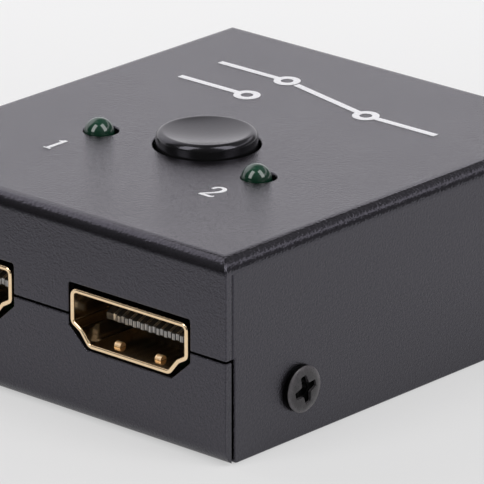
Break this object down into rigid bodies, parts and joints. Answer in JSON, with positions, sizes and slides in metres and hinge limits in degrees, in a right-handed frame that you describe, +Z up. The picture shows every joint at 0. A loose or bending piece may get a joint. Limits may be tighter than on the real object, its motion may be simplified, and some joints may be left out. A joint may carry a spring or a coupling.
{
  "type": "video switch box",
  "caption": "Flat folded-steel video switch box with a round push button, indicator lamps and gold-plated plug sockets in its front and rear faces.",
  "frame": {"origin": "middle of the underside", "axes": "+Z up, -Y is the face with the pair of sockets, +X to the right of someone facing it"},
  "size_m": [0.0498, 0.054, 0.0216],
  "materials": {
    "case_paint": "fine black powder coat",
    "screw_black": "black oxide",
    "screw_steel": "zinc plated",
    "standoff_brass": "turned",
    "board_green": "solder mask",
    "button_black": "polished",
    "plunger_white": "moulded",
    "contact_metal": "tinned",
    "spring_steel": "bright",
    "switch_blue": "moulded",
    "switch_brown": "moulded",
    "chip_black": "moulded",
    "capacitor_tan": "matte",
    "resistor_black": "glazed",
    "shell_gold": "gold plated",
    "socket_black": "moulded",
    "lamp_green": "clear tinted"
  },
  "bodies": {
    "case": {"top_cover": "case_paint", "bottom_tray": "case_paint", "cover_screws": "screw_black", "board_standoffs": "standoff_brass", "board_screws": "screw_steel", "circuit_board": "board_green", "return_spring": "spring_steel", "latch_leaf": "spring_steel", "switch_housing": "switch_blue", "switch_base": "switch_brown", "switch_terminals": "contact_metal", "signal_chip": "chip_black", "capacitors": "capacitor_tan", "resistors": "resistor_black", "socket_shell_1": "shell_gold", "socket_insulator_1": "socket_black", "socket_contacts_1": "contact_metal", "socket_shell_2": "shell_gold", "socket_insulator_2": "socket_black", "socket_contacts_2": "contact_metal", "socket_shell_common": "shell_gold", "socket_insulator_common": "socket_black", "socket_contacts_common": "contact_metal", "led_lens_1": "lamp_green", "led_leads_1": "contact_metal", "led_lens_2": "lamp_green", "led_leads_2": "contact_metal"},
    "button": {"button_cap": "button_black", "switch_plunger": "plunger_white", "contact_clips": "contact_metal"},
    "latch": {"latch_pin": "spring_steel"}
  },
  "joints": [
    {"name": "button_press", "type": "slide", "parent": "case", "child": "button", "axis": [0, 0, -1], "range_m": [0, 0.0015], "stiffness_N_per_m": 500, "springref_m": -0.003, "deforming": ["return_spring"]},
    {"name": "latch_swing", "type": "hinge", "parent": "case", "child": "latch", "pos_m": [0, -0.0032, 0.008], "axis": [0, 1, 0], "range_deg": [0, 17.1]}
  ],
  "couplings": [
    {"joint": "latch_swing", "follows": "button_press", "rad_per_m": 193.17}
  ]
}
